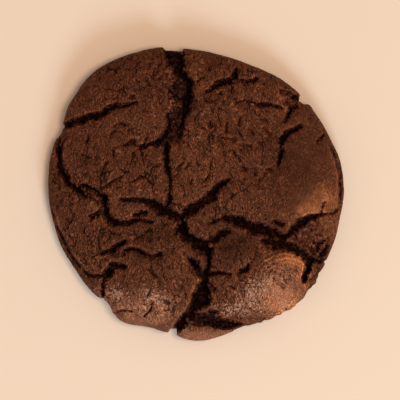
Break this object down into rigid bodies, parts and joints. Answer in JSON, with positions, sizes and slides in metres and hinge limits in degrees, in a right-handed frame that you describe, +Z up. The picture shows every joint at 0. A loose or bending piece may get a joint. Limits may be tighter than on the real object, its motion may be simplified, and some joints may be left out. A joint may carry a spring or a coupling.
{
  "type": "fudge cookie",
  "caption": "Thick round chocolate fudge cookie with a pillowed, deeply cracked crust, a ragged rim and a flat underside.",
  "frame": {"origin": "on the flat underside, at the middle of the cookie's box seen from above", "axes": "+Z up through the crust; +Y towards the wide open crack that runs in from the rim, which is the top of the picture; +X to the picture's right"},
  "size_m": [0.078, 0.0774, 0.0158],
  "materials": {
    "chocolate_crust": "matte"
  },
  "bodies": {
    "root": {"cookie": "chocolate_crust"}
  },
  "joints": []
}
